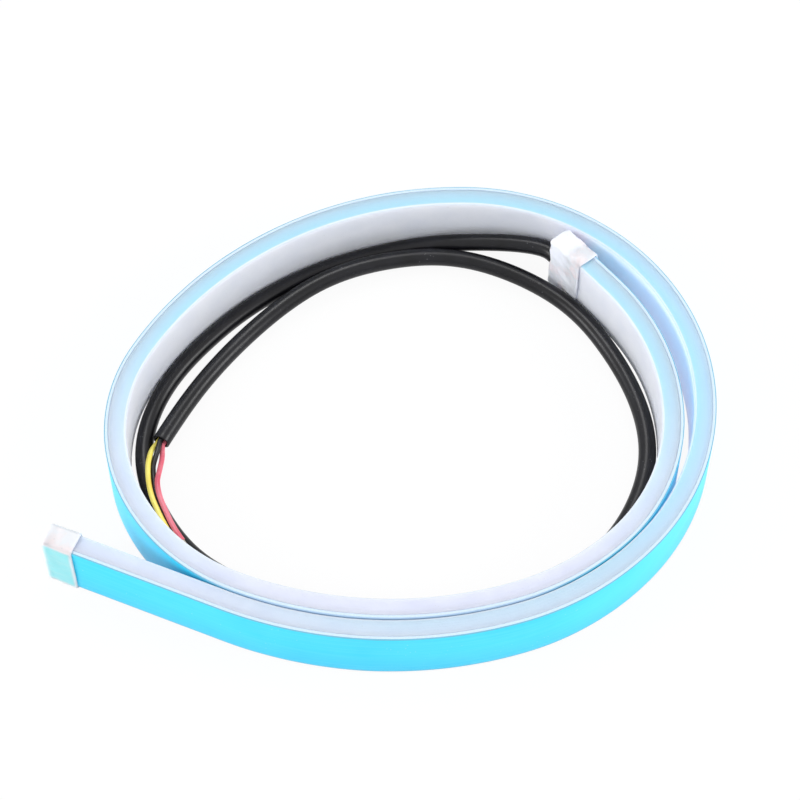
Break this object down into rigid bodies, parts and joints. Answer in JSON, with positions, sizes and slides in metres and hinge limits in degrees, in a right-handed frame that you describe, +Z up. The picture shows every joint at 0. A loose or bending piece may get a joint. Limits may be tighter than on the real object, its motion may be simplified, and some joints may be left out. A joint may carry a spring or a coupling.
{
  "type": "daytime running light",
  "caption": "Flexible silicone light strip for a car, coiled on its edge, with a film-covered adhesive back, a blind end cap and a cabled end cap.",
  "frame": {"origin": "middle of the coil's outline in plan, on the surface that the strip's caps stand on", "axes": "+Z up across the strip's width, so the light strip stands on its long edge; +Y towards the back of the coil, away from the viewer; +X to the right, towards the side bend"},
  "size_m": [0.1474, 0.1154, 0.017],
  "materials": {
    "milky_silicone": "satin, translucent milky silicone",
    "cap_silicone": "soft gloss, translucent white silicone",
    "sealant": "satin white silicone sealant",
    "blue_film": "smooth light blue release film",
    "foam": "white adhesive foam tape",
    "board_film": "white coated flexible circuit board",
    "white_chip": "yellow phosphor lamp chips",
    "amber_chip": "amber lamp chips",
    "black_chip": "moulded black",
    "solder": "soft solder",
    "black_jacket": "satin black cable jacket",
    "yellow_insulation": "satin yellow insulation",
    "black_insulation": "satin black insulation",
    "red_insulation": "satin red insulation",
    "tinned_copper": "tinned stranded conductor"
  },
  "bodies": {
    "root": {"light_tube": "milky_silicone", "circuit_board": "board_film", "white_leds": "white_chip", "amber_leds": "amber_chip", "resistors": "black_chip", "driver_chips": "black_chip", "solder_joints": "solder", "foam_tape": "foam", "release_film": "blue_film", "blind_end_cap": "cap_silicone", "lead_end_cap": "cap_silicone", "blind_sealant": "sealant", "lead_sealant": "sealant", "lead_sleeve": "black_jacket", "core_yellow": "yellow_insulation", "core_black": "black_insulation", "core_red": "red_insulation", "cable_jacket": "black_jacket", "wire_yellow": "yellow_insulation", "wire_black": "black_insulation", "wire_red": "red_insulation", "tip_yellow": "tinned_copper", "tip_black": "tinned_copper", "tip_red": "tinned_copper"}
  },
  "joints": []
}
